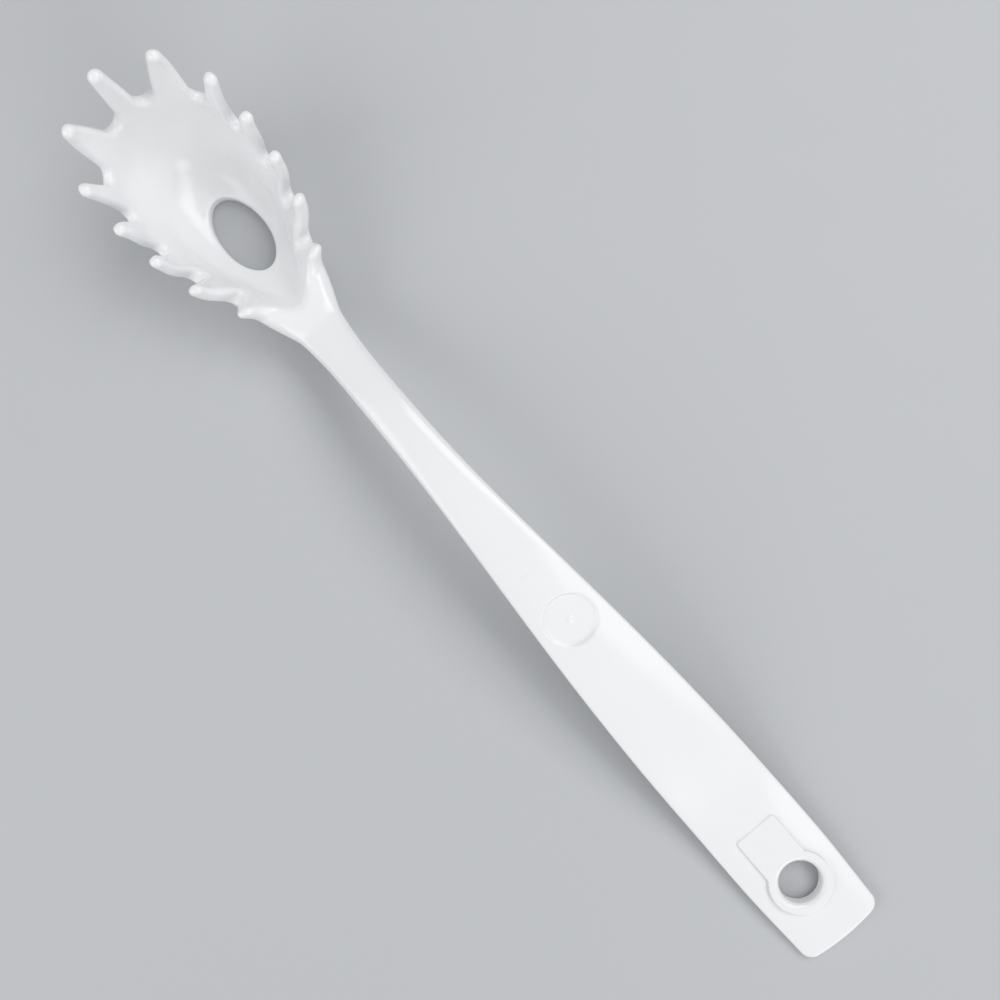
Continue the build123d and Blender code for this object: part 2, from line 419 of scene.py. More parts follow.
@dataclass
class Bowl:
    """The open bowl with its drain hole and the teeth on its rim, in millimetres.

    Attributes:
        front_x: Where the front tooth ends.
        width: Width over the widest level.
        height: Height to the top of the front tooth.
        length: Length of the bowl.
        wall: Thickness of the plastic.
        rear_gain: How much thicker the plastic is at the rear.
        rear_gain_start: How far behind the front tooth the plastic begins to thicken.
        rear_gain_length: Length over which it does.
        tip_gain_share: Share of the gain that the tips of the rear teeth keep.
        floor_fade: Height up to which the gain fades out towards the floor.
        floor_radius: Radius between the hollow's floor and its walls.
        ramp_setback: How far behind the front tooth the ramp has its named height.
        ramp_height: That height.
        ramp_slope: How steep the ramp is, in degrees.
        ramp_fillet: Radius between the ramp and the hollow.
        edge_radius: Radius of the rim's edges in front.
        edge_radius_gain: How much larger it is at the rear.
        tip_radius: Radius of the front tooth's tip, seen on the unrolled wall.
        tip_radius_rear: Radius of the last teeth's tips.
        valley_radius: Radius of the first valleys.
        valley_radius_rear: Radius of the last valleys.
        rim_end_slope: How steeply the rim falls behind the last valley, in degrees.
        rim_headroom: Height of the unrolled wall's table, as a share of the bowl's height.
        rim_step: How far apart the entries of that table are.
        drain_length: Length of the oval drain hole.
        drain_width: Its width.
        drain_setback: How far its middle is behind the front tooth.
        drain_edge_radius: Radius of its edge.
        drain_lip: How much thicker the plastic is at its edge.
        drain_lip_width: How far that lip reaches.
        hub_setback: How far the hub of the outlines is behind the front tooth.
        reference_share: Height at which the rim is measured along the wall, as a share of the bowl's.
        shoulder_share: Where an outline's shoulder is, from its rear, as a share of its length.
        haunch_share: Where its haunch is, between its widest place and its front.
        outline_samples: Number of places at which an outline is read.
        height_step: How far apart the heights are in the table of the wall's radii.
        turn_steps: Number of directions in it.
        hub_x: Place of the hub.
        radii: Distance from the hub to the outside of the wall, by height and direction.
        steepness: Share of a level distance to the wall that is the true one, by the same.
        rim_angles: Directions in which the rim is measured.
        rim_x: Places of the rim in those directions.
        rim_run: Run of the rim up to them.
        rim_table: Distance to the toothed outline of the unrolled wall.
        line_back: How far behind the front tooth the valleys are.
        rim_line: Heights of the valleys.
        tip_line: Heights of the tips' line above them.
    """

    front_x: float
    width: float = 47.3
    height: float = 48.3
    length: float = 74.0
    wall: float = 3.2
    rear_gain: float = 2.0
    rear_gain_start: float = 30.0
    rear_gain_length: float = 28.0
    tip_gain_share: float = 0.5
    floor_fade: float = 14.0
    floor_radius: float = 11.0
    ramp_setback: float = 68.5
    ramp_height: float = 13.8
    ramp_slope: float = 30.0
    ramp_fillet: float = 5.0
    edge_radius: float = 1.35
    edge_radius_gain: float = 0.65
    tip_radius: float = 1.8
    tip_radius_rear: float = 1.7
    valley_radius: float = 2.7
    valley_radius_rear: float = 1.3
    rim_end_slope: float = 24.0
    rim_headroom: float = 1.1
    rim_step: float = 0.1
    drain_length: float = 24.7
    drain_width: float = 13.9
    drain_setback: float = 37.9
    drain_edge_radius: float = 0.8
    drain_lip: float = 0.45
    drain_lip_width: float = 2.2
    hub_setback: float = 27.5
    reference_share: float = 0.54
    shoulder_share: float = 0.20
    haunch_share: float = 0.60
    outline_samples: int = 2000
    height_step: float = 0.2
    turn_steps: int = 720
    hub_x: float = field(init=False)
    radii: np.ndarray = field(init=False)
    steepness: np.ndarray = field(init=False)
    rim_angles: np.ndarray = field(init=False)
    rim_x: np.ndarray = field(init=False)
    rim_run: np.ndarray = field(init=False)
    rim_table: np.ndarray = field(init=False)
    line_back: np.ndarray = field(init=False)
    rim_line: np.ndarray = field(init=False)
    tip_line: np.ndarray = field(init=False)

    def __post_init__(self) -> None:
        """Work out the table of radii and the run of the rim once."""
        self.hub_x = self.front_x - self.hub_setback
        turns = np.linspace(0.0, math.pi, self.turn_steps + 1)
        rows = np.array([self.outline_radii(level, turns) for level in LEVELS])
        level_heights = [level.height * self.height for level in LEVELS]
        heights = np.arange(0.0, level_heights[-1], self.height_step)
        self.radii = np.stack([cubic_through(level_heights, column, heights) for column in rows.T], axis=1)
        by_height = np.gradient(self.radii, self.height_step, axis=0)
        by_turn = np.gradient(self.radii, turns[1], axis=1) / self.radii
        self.steepness = 1.0 / np.sqrt(1.0 + by_height**2 + by_turn**2)
        reference = self.radii[int(self.reference_share * self.height / self.height_step)]
        x, y = self.hub_x + reference * np.cos(turns), reference * np.sin(turns)
        self.rim_angles, self.rim_x = turns, x
        self.rim_run = np.concatenate([[0.0], np.cumsum(np.hypot(np.diff(x), np.diff(y)))])
        self.rim_table = self.rim_table_values()
        self.line_back = np.array([spot.back for spot in VALLEYS]) * self.length
        self.rim_line = np.array([spot.height for spot in VALLEYS]) * self.height
        tip_back = np.array([spot.back for spot in TIPS]) * self.length
        tip_height = np.array([spot.height for spot in TIPS]) * self.height
        self.tip_line = np.interp(self.line_back, tip_back, tip_height)

    def outline_radii(self, level: Level, turns: np.ndarray) -> np.ndarray:
        """Distance from the hub to one outline in each direction.

        Args:
            level: The outline.
            turns: Directions from the front to the rear, in radians.

        Returns:
            The outline's radius in each direction.
        """
        x_front = self.front_x - level.front * self.length
        x_rear = self.front_x - level.rear * self.length
        run, half = x_front - x_rear, level.width * self.width / 2
        x_widest = x_rear + level.widest * run
        x_haunch = x_widest + self.haunch_share * (x_front - x_widest)
        x_shoulder = x_rear + self.shoulder_share * run
        side = [(x_shoulder, level.shoulder * half), (x_widest, half), (x_haunch, level.haunch * half)]
        back = [(x, -y) for x, y in reversed(side)]
        points = np.array([(x_rear, 0.0), *side, (x_front, 0.0), *back, (x_rear, 0.0)])
        run_along = np.concatenate([[0.0], np.cumsum(np.hypot(*np.diff(points, axis=0).T))])
        wanted = np.linspace(0.0, run_along[-1], self.outline_samples)
        x = cubic_through(run_along, points[:, 0], wanted, closed=True)
        y = cubic_through(run_along, points[:, 1], wanted, closed=True)
        angles = np.arctan2(y, x - self.hub_x)
        order = np.argsort(angles)
        return np.interp(turns, angles[order], np.hypot(x - self.hub_x, y)[order])

    def read(self, table: np.ndarray, turn: np.ndarray, z: np.ndarray) -> np.ndarray:
        """Read a table of the bowl by direction and height."""
        return read_table(table, z / self.height_step, turn / math.pi * self.turn_steps)

    def side(self, x: np.ndarray, y: np.ndarray, z: np.ndarray) -> np.ndarray:
        """Distance to the outside of the bowl's wall.

        Args:
            x: Place along the server.
            y: Place across it.
            z: Height.

        Returns:
            The distances, negative inside the outline.
        """
        turn = np.arctan2(np.abs(y), x - self.hub_x)
        radius = np.hypot(x - self.hub_x, y)
        return (radius - self.read(self.radii, turn, z)) * self.read(self.steepness, turn, z)

    def rim_place(self, x: np.ndarray, y: np.ndarray) -> np.ndarray:
        """How far along the rim a place is, from the front: round the hub, then straight to the rear.

        Args:
            x: Place along the server.
            y: Place across it.

        Returns:
            The run of the rim up to each place.
        """
        turn = np.arctan2(np.abs(y), x - self.hub_x)
        in_front = np.interp(turn, self.rim_angles, self.rim_run)
        behind = np.interp(-x, -self.rim_x, self.rim_run)
        return np.where(x >= self.hub_x, in_front, behind)

    def spot(self, spot: Spot) -> tuple[float, float]:
        """Measure a spot of the rim on the unrolled wall.

        Args:
            spot: The spot.

        Returns:
            Its place along the rim and its height.
        """
        x = np.array(self.front_x - spot.back * self.length)
        y = np.array(spot.side * self.width / 2)
        return float(self.rim_place(x, y)), spot.height * self.height

    def rim_rounds(self) -> list[Round]:
        """Lay the round tips and valleys of the rim on the unrolled wall.

        Returns:
            The rounds in their order from the front.
        """
        rounds = []
        for number, (tip, valley) in enumerate(zip(TIPS, VALLEYS)):
            share = number / (len(TIPS) - 1)
            tip_radius = self.tip_radius + share * (self.tip_radius_rear - self.tip_radius)
            valley_radius = self.valley_radius + share * (self.valley_radius_rear - self.valley_radius)
            along, height = self.spot(tip)
            rounds.append(Round(along, height - tip_radius, tip_radius, Bend.TIP))
            along, height = self.spot(valley)
            rounds.append(Round(along, height + valley_radius, valley_radius, Bend.VALLEY))
        return rounds

    def rim_table_values(self) -> np.ndarray:
        """Distance to the toothed outline of the unrolled wall, on a fine grid.

        The outline is a chain of round tips and round valleys, joined by straight flanks that run smoothly
        from one into the other. Behind the last valley it falls straight to the rear.

        Returns:
            The distances by place along the rim and height, negative in the plastic.
        """
        u, z = np.meshgrid(
            np.arange(0.0, self.rim_run[-1], self.rim_step),
            np.arange(0.0, self.height * self.rim_headroom, self.rim_step),
            indexing="ij",
        )
        rounds = self.rim_rounds()
        slope = math.radians(self.rim_end_slope)
        front_normal, end_normal = (-1.0, 0.0), (math.sin(slope), math.cos(slope))
        du = u - rounds[-1].along + rounds[-1].radius * end_normal[0]
        dz = z - rounds[-1].height + rounds[-1].radius * end_normal[1]
        past_end = du * end_normal[1] - dz * end_normal[0] > 0
        best = np.where(past_end, du * end_normal[0] + dz * end_normal[1], np.inf)
        normals = [front_normal]
        for one, following in zip(rounds, rounds[1:]):
            normals.append(one.flank_normal(following))
            best = nearer(best, one.flank(following, normals[-1], u, z))
        normals.append(end_normal)
        for one, before, after in zip(rounds, normals, normals[1:]):
            best = nearer(best, one.arc(before, after, u, z))
        return best

    def rim_region(self, x: np.ndarray, y: np.ndarray, z: np.ndarray) -> np.ndarray:
        """Distance to the wall's upper outline: the rim with its teeth, unrolled."""
        return read_table(self.rim_table, self.rim_place(x, y) / self.rim_step, z / self.rim_step)

    def drain(self, x: np.ndarray, y: np.ndarray) -> np.ndarray:
        """Distance to the oval drain hole, seen from above.

        Args:
            x: Place along the server.
            y: Place across it.

        Returns:
            The distances, negative in the hole.
        """
        a, b = self.drain_length / 2, self.drain_width / 2
        dx = x - (self.front_x - self.drain_setback)
        value = (dx / a) ** 2 + (y / b) ** 2 - 1
        slope = 2 * np.sqrt(dx**2 / a**4 + y**2 / b**4)
        return value / np.maximum(slope, 1 / a)

    def rear_share(self, x: np.ndarray) -> np.ndarray:
        """How far a place belongs to the stout rear of the bowl, from 0 to 1."""
        return ease((self.front_x - x - self.rear_gain_start) / self.rear_gain_length)

    def edge(self, x: np.ndarray) -> np.ndarray:
        """Radius of the rim's two edges at a place along the server."""
        return self.edge_radius + self.edge_radius_gain * self.rear_share(x)

    def hollow(self, x: np.ndarray, y: np.ndarray, z: np.ndarray, side: np.ndarray) -> np.ndarray:
        """Distance to the plastic from inside the bowl's hollow, negative in the plastic.

        The hollow's floor rises behind the drain hole on a ramp that ends at the neck.

        Args:
            x: Place along the server.
            y: Place across it.
            z: Height.
            side: Distance to the outside of the bowl's wall at the same places.

        Returns:
            The distance field that removes the hollow.
        """
        back = self.front_x - x
        tip_line = np.interp(back, self.line_back, self.tip_line)
        rim_line = np.interp(back, self.line_back, self.rim_line)
        below_tip = ease((tip_line - z) / (tip_line - rim_line))
        below_tip = self.tip_gain_share + (1 - self.tip_gain_share) * below_tip
        gain = self.rear_gain * self.rear_share(x) * below_tip * ease(z / self.floor_fade)
        lip = self.drain_lip * np.exp(-((self.drain(x, y) / self.drain_lip_width) ** 2))
        walls = round_max(side, -z, self.floor_radius) + self.wall + gain + lip
        slope = math.radians(self.ramp_slope)
        run = x - (self.front_x - self.ramp_setback)
        ramp = (z - self.ramp_height) * math.cos(slope) + run * math.sin(slope)
        return -round_max(walls, -ramp, self.ramp_fillet)


@dataclass
class Handle:
    """The arched handle, from inside the bowl to its hanging end, in millimetres.

    Attributes:
        front_x: Where the front tooth ends.
        end_x: Where the hanging end ends.
        tail_length: Length of the straight tail.
        tail_slope: How steeply the tail rises towards the grip, in degrees.
        tail_foot: How far the tail's end would reach below the floor, where it is cut flat.
        tail_end_width: Width of the tail's end.
        tail_taper_length: Length in which the tail widens to the grip.
        neck_width: Width of the neck.
        grip_width: Width of the grip.
        arch_height: Height of the arch.
        neck_crown: How far the neck's middle line stands above its edges.
        grip_crown: How far the grip's does.
        neck_depth: Thickness of the neck at its edges.
        grip_depth: Thickness of the grip there.
        side_inset: How much narrower the handle is underneath, on each side.
        top_radius: Radius of the grip's upper edges.
        neck_top_radius: Radius of the neck's upper edges.
        under_radius: Radius of the lower edges.
        corner_radius: Radius of the tail's corners, seen from above.
        end_bulge: How far the middle of the tail's end stands out.
        front_radius: Radius of the handle's front end, inside the bowl.
        across_limit: Share of the half width up to which the crown runs on beside the handle.
        last_station_share: Where the last station is, from the tail to the front tooth.
        stations: Knots along the arch: shares of the way from the neck's width to the grip's, of the
            arch's height, and of the way from the neck's section to the grip's.
        tail_x: Where the tail meets the grip.
        half_width: Half the handle's width, along it.
        edge: Height of its upper edges.
        crown: How far its middle line stands above them.
        depth: Its thickness at its edges.
    """

    front_x: float
    end_x: float
    tail_length: float = 46.0
    tail_slope: float = 4.0
    tail_foot: float = 0.3
    tail_end_width: float = 26.6
    tail_taper_length: float = 24.0
    neck_width: float = 12.2
    grip_width: float = 28.4
    arch_height: float = 26.4
    neck_crown: float = 1.5
    grip_crown: float = 1.3
    neck_depth: float = 5.0
    grip_depth: float = 2.2
    side_inset: float = 0.9
    top_radius: float = 0.9
    neck_top_radius: float = 1.9
    under_radius: float = 0.7
    corner_radius: float = 3.4
    end_bulge: float = 0.6
    front_radius: float = 3.0
    across_limit: float = 1.2
    last_station_share: float = 0.78
    stations: Sequence[tuple[float, float, float]] = (
        (0.950, 0.360, 1.00),
        (0.835, 0.545, 1.00),
        (0.658, 0.716, 0.95),
        (0.434, 0.860, 0.85),
        (0.208, 0.958, 0.60),
        (0.050, 0.970, 0.30),
        (0.000, 0.848, 0.05),
        (0.104, 0.598, 0.00),
        (0.640, 0.398, 0.00),
    )
    tail_x: float = field(init=False)
    half_width: Profile = field(init=False)
    edge: Profile = field(init=False)
    crown: Profile = field(init=False)
    depth: Profile = field(init=False)

    def __post_init__(self) -> None:
        """Lay the knots of the handle's width, edge height, crown and thickness along it."""
        self.tail_x = self.end_x + self.tail_length
        slope = math.tan(math.radians(self.tail_slope))
        foot_edge = self.grip_depth - self.tail_foot
        behind_x, taper_x = self.end_x - self.tail_length / 2, self.end_x + self.tail_taper_length
        xs = [behind_x, self.end_x, taper_x, self.tail_x]
        widths = [self.tail_end_width, self.tail_end_width, self.grip_width, self.grip_width]
        edges = [foot_edge + (x - self.end_x) * slope for x in xs]
        crowns = [self.grip_crown] * len(xs)
        depths = [self.grip_depth] * len(xs)
        for number, (widening, arch, grip) in enumerate(self.stations, start=1):
            along = self.last_station_share * number / len(self.stations)
            xs.append(self.tail_x + along * (self.front_x - self.tail_x))
            widths.append(self.neck_width + widening * (self.grip_width - self.neck_width))
            edges.append(arch * self.arch_height)
            crowns.append(self.neck_crown + grip * (self.grip_crown - self.neck_crown))
            depths.append(self.neck_depth + grip * (self.grip_depth - self.neck_depth))
        self.half_width = Profile(xs, [width / 2 for width in widths])
        self.edge, self.crown, self.depth = Profile(xs, edges), Profile(xs, crowns), Profile(xs, depths)

    def top_height(self, x: float) -> float:
        """Height of the handle's middle line at a place."""
        place = np.array(x)
        return float(self.edge.at(place) + self.crown.at(place))

    def top_slope(self, x: float) -> float:
        """Slope of the handle's middle line at a place."""
        return float(self.edge.slope(np.array(x)) + self.crown.slope(np.array(x)))

    def distance(self, x: np.ndarray, y: np.ndarray, z: np.ndarray) -> np.ndarray:
        """Distance to the handle without its panel, recess and hole.

        Args:
            x: Place along the server.
            y: Place across it.
            z: Height.

        Returns:
            The distance field of the handle.
        """
        half, edge = self.half_width.at(x), self.edge.at(x)
        crown, depth, slope = self.crown.at(x), self.depth.at(x), self.edge.slope(x)
        across = np.clip(np.abs(y) / half, 0.0, self.across_limit)
        top = z - edge - crown * (1 - across**2)
        top = top / np.sqrt(1 + slope**2 + (2 * crown * across / half) ** 2)
        under = (edge - depth - z) / np.sqrt(1 + slope**2)
        drop = np.clip((edge - z) / depth, 0.0, 1.0)
        side = np.abs(y) - half + self.side_inset * drop
        rear = self.end_x + self.end_bulge * across**2 - x
        plan = round_max(rear, side, self.corner_radius)
        neckness = np.clip((depth - self.grip_depth) / (self.neck_depth - self.grip_depth), 0.0, 1.0)
        top_radius = self.top_radius + neckness * (self.neck_top_radius - self.top_radius)
        body = round_max(round_max(top, plan, top_radius), under, self.under_radius)
        body = round_max(body, x - self.half_width.places[-1], self.front_radius)
        return np.maximum(body, -z)


def settle(points: np.ndarray, distance: Distance, step: float, passes: int) -> np.ndarray:
    """Move points onto a field's surface.

    Args:
        points: The points.
        distance: The field.
        step: Size of a quad between the points.
        passes: How often they are moved.

    Returns:
        The moved points.
    """
    reach = step * PROBE_SHARE
    for _ in range(passes):
        value = distance(*points.T)
        slope = np.empty_like(points)
        for axis in range(3):
            shift = np.zeros(3)
            shift[axis] = reach
            ahead, behind = distance(*(points + shift).T), distance(*(points - shift).T)
            slope[:, axis] = (ahead - behind) / (2 * reach)
        strength = np.maximum((slope**2).sum(1), LEAST_SLOPE)
        move = slope * (value / strength)[:, None]
        limit = step * LONGEST_MOVE / np.maximum(np.linalg.norm(move, axis=1), NO_LENGTH)
        points = points - move * np.minimum(limit, 1.0)[:, None]
    return points


@dataclass
class Skin:
    """Turns a distance field into a mesh of even quads that lie on its surface.

    Attributes:
        low: Lowest corner of the space that is searched.
        high: Highest corner of it.
        step: Size of a quad.
        block: Number of quads along a block, the unit in which the space is searched.
        near_share: How near the surface a block's middle has to be to be searched, in blocks.
        passes: How often the points are moved onto the surface.
    """

    low: Sequence[float]
    high: Sequence[float]
    step: float
    block: int = 12
    near_share: float = 1.9
    passes: int = 4

    def sample(self, distance: Distance) -> np.ndarray:
        """Read the field on a grid, closely only near the surface.

        Args:
            distance: The field.

        Returns:
            The field's values at the grid's points.
        """
        low = np.array(self.low)
        blocks = np.ceil((np.array(self.high) - low) / self.step / self.block).astype(int)
        values = np.ones(blocks * self.block + 1)
        size = self.block * self.step
        corners = np.stack(np.meshgrid(*[np.arange(n) for n in blocks], indexing="ij"), -1).reshape(-1, 3)
        centres = low + (corners + 0.5) * size
        rough = distance(*centres.T)
        near = np.abs(rough) < size * self.near_share
        side = self.block + 1
        for corner, value in zip(corners[~near], rough[~near]):
            i, j, k = corner * self.block
            values[i : i + side, j : j + side, k : k + side] = value
        line = np.arange(side) * self.step
        offsets = np.stack(np.meshgrid(line, line, line, indexing="ij"), -1).reshape(-1, 3)
        for corner in corners[near]:
            i, j, k = corner * self.block
            found = distance(*(low + corner * size + offsets).T)
            values[i : i + side, j : j + side, k : k + side] = found.reshape(side, side, side)
        return values

    def net(self, values: np.ndarray) -> tuple[np.ndarray, np.ndarray]:
        """Find the surface in the grid: one point in each cell it crosses, one quad on each edge.

        Args:
            values: The field's values at the grid's points.

        Returns:
            The points, and the quads as numbers of points.
        """
        inside = values < 0
        cells = np.array(values.shape) - 1
        corner_list = [(i, j, k) for i in (0, 1) for j in (0, 1) for k in (0, 1)]
        count = np.zeros(cells, np.int8)
        for i, j, k in corner_list:
            count += inside[i : i + cells[0], j : j + cells[1], k : k + cells[2]]
        active = np.argwhere((count > 0) & (count < len(corner_list)))
        number = np.full(cells, -1, np.int64)
        number[tuple(active.T)] = np.arange(len(active))
        total, hits = np.zeros((len(active), 3)), np.zeros(len(active))
        for corner in corner_list:
            for axis in range(3):
                if corner[axis]:
                    continue
                start = active + corner
                end = start.copy()
                end[:, axis] += 1
                a, b = values[tuple(start.T)], values[tuple(end.T)]
                crossed = (a < 0) != (b < 0)
                place = start.astype(float)
                place[:, axis] += np.where(crossed, a / np.where(crossed, a - b, 1.0), 0.0)
                total += place * crossed[:, None]
                hits += crossed
        points = np.array(self.low) + total / hits[:, None] * self.step
        quads = []
        for axis in range(3):
            other = [n for n in range(3) if n != axis]
            low_side = inside[tuple(slice(0, -1) if n == axis else slice(1, -1) for n in range(3))]
            high_side = inside[tuple(slice(1, None) if n == axis else slice(1, -1) for n in range(3))]
            places = np.argwhere(low_side != high_side)
            leaving = low_side[tuple(places.T)]
            base = places + [0 if n == axis else 1 for n in range(3)]
            ring = []
            for one, two in ((-1, -1), (0, -1), (0, 0), (-1, 0)):
                cell = base.copy()
                cell[:, other[0]] += one
                cell[:, other[1]] += two
                ring.append(number[tuple(cell.T)])
            quad = np.stack(ring, 1)
            flip = leaving if axis == 1 else ~leaving
            quad[flip] = quad[flip][:, ::-1]
            quads.append(quad)
        return points, np.concatenate(quads)

    def mesh(self, name: str, distance: Distance) -> bpy.types.Mesh:
        """Make the mesh.

        Args:
            name: Name of the mesh.
            distance: The field.

        Returns:
            The mesh, in metres.
        """
        points, quads = self.net(self.sample(distance))
        points = settle(points, distance, self.step, self.passes)
        mesh = bpy.data.meshes.new(name)
        mesh.from_pydata((points * MM).tolist(), [], quads.tolist())
        mesh.update()
        return mesh


class Side(Enum):
    """Which side of a cut across the server is kept, as its direction along X."""

    FRONT = 1.0
    REAR = -1.0


def cut_square(mesh: bpy.types.Mesh, x: float, side: Side) -> None:
    """Cut a mesh on a plane across the server and close it with a flat cap.

    Args:
        mesh: The mesh, in metres.
        x: Where the plane is, in metres.
        side: The side that is kept.
    """
    shape = bmesh.new()
    shape.from_mesh(mesh)
    everything = shape.verts[:] + shape.edges[:] + shape.faces[:]
    away = (-side.value, 0, 0)
    cut = bmesh.ops.bisect_plane(shape, geom=everything, plane_co=(x, 0, 0), plane_no=away, clear_outer=True)
    edges = [item for item in cut["geom_cut"] if isinstance(item, bmesh.types.BMEdge)]
    bmesh.ops.contextual_create(shape, geom=edges)
    for edge in edges:
        edge.smooth = False
    shape.to_mesh(mesh)
    shape.free()


def add_object(name: str, mesh: bpy.types.Mesh) -> bpy.types.Object:
    """Put a mesh into the scene as an object at the origin.

    Args:
        name: Name of the object.
        mesh: The mesh.

    Returns:
        The object.
    """
    made = bpy.data.objects.new(name, mesh)
    bpy.context.scene.collection.objects.link(made)
    return made


def count_triangles(mesh: bpy.types.Mesh) -> int:
    """How many triangles a mesh has once its faces are cut into triangles."""
    return sum(len(face.vertices) - 2 for face in mesh.polygons)


@dataclass
class Piece:
    """What the pieces of the server share, in millimetres.

    Attributes:
        handle: The handle that all of them belong to.
        name: Name of the piece.
        nodes: Names of the frame's nodes that it stands for.
        step: Size of a quad of its surface.
        rear_x: Where it is cut square at the rear, or None at the end of the server.
        front_x: Where it is cut square in front, or None at the end of the server.
        margin: How far the space searched for its surface reaches past its nodes.
    """

    handle: Handle
    name: str
    nodes: Sequence[str]
    step: float
    rear_x: float | None = None
    front_x: float | None = None
    margin: float = 2.0

    def distance(self, x: np.ndarray, y: np.ndarray, z: np.ndarray) -> np.ndarray:
        """Distance to the piece, or to the handle where it is plain."""
        return self.handle.distance(x, y, z)

    def surface(self) -> bpy.types.Mesh:
        """Make the piece's surface, a little longer than the piece where it meets another.

        Returns:
            The mesh, in metres.
        """
        boxes = np.array([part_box(node) for node in self.nodes]) / MM
        low, high = boxes[:, 0].min(axis=0) - self.margin, boxes[:, 1].max(axis=0) + self.margin
        return Skin(low, high, self.step).mesh(self.name, self.distance)

    def build(self) -> bpy.types.Object:
        """Make the piece and cut it square where it meets its neighbours.

        Returns:
            The piece, at the origin.
        """
        mesh = self.surface()
        for x, side in ((self.rear_x, Side.FRONT), (self.front_x, Side.REAR)):
            if x is not None:
                cut_square(mesh, x * MM, side)
        return add_object(self.name, mesh)

    def dress(self, piece: bpy.types.Object, material: bpy.types.Material) -> None:
        """Shade the piece smooth, give it its finish, hang it under the root body and hide the nodes it
        replaces.

        Args:
            piece: The built piece.
            material: Its finish.
        """
        mesh = piece.data
        mesh.polygons.foreach_set("use_smooth", [True] * len(mesh.polygons))
        mesh.materials.clear()
        mesh.materials.append(material)
        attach(piece, "root")
        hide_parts(*self.nodes)


@dataclass
class Head(Piece):
    """The bowl with its teeth and drain hole, and the neck that carries it.

    Attributes:
        step: Size of a quad of its surface.
        bowl: The bowl's shape.
        neck_fillet: Radius of the fillet between the bowl and the neck.
    """

    step: float = 0.42
    bowl: Bowl = field(kw_only=True)
    neck_fillet: float = 7.0

    def distance(self, x: np.ndarray, y: np.ndarray, z: np.ndarray) -> np.ndarray:
        """Distance to the head.

        Args:
            x: Place along the server.
            y: Place across it.
            z: Height.

        Returns:
            The distance field of the head.
        """
        side = self.bowl.side(x, y, z)
        edge = self.bowl.edge(x)
        wall = round_max(np.maximum(side, -z), self.bowl.rim_region(x, y, z), edge)
        solid = round_min(wall, self.handle.distance(x, y, z), self.neck_fillet)
        opened = round_max(solid, self.bowl.hollow(x, y, z, side), edge)
        drained = round_max(opened, -self.bowl.drain(x, y), self.bowl.drain_edge_radius)
        return np.maximum(drained, -z)


@dataclass
class RearGrip(Piece):
    """The rear of the grip, with the shallow recess where the plastic was fed in and the nub it left.

    Attributes:
        step: Size of a quad of its surface.
        recess_setback: How far the recess's middle is behind the front tooth.
        recess_radius: Radius of the recess.
        recess_depth: Its depth.
        recess_rim_radius: Radius of its upper edge.
        recess_floor_radius: Radius between its floor and its wall.
        nub_radius: Radius of the nub.
        nub_height: Its height.
    """

    step: float = 0.38
    recess_setback: float = 178.9
    recess_radius: float = 7.3
    recess_depth: float = 1.1
    recess_rim_radius: float = 0.6
    recess_floor_radius: float = 0.9
    nub_radius: float = 0.8
    nub_height: float = 0.3

    def distance(self, x: np.ndarray, y: np.ndarray, z: np.ndarray) -> np.ndarray:
        """Distance to the grip with its recess.

        Args:
            x: Place along the server.
            y: Place across it.
            z: Height.

        Returns:
            The distance field of the grip.
        """
        centre = self.handle.front_x - self.recess_setback
        angle = math.atan(self.handle.top_slope(centre))
        dx, dz = x - centre, z - self.handle.top_height(centre)
        along = dx * math.cos(angle) + dz * math.sin(angle)
        over_floor = dz * math.cos(angle) - dx * math.sin(angle) + self.recess_depth
        radius = np.hypot(along, y)
        pocket = round_max(radius - self.recess_radius, -over_floor, self.recess_floor_radius)
        sunk = round_max(self.handle.distance(x, y, z), -pocket, self.recess_rim_radius)
        nub = round_max(radius - self.nub_radius, over_floor - self.nub_height, self.nub_height)
        nub = np.maximum(nub, -over_floor - self.nub_radius)
        return round_min(sunk, nub, self.nub_height)


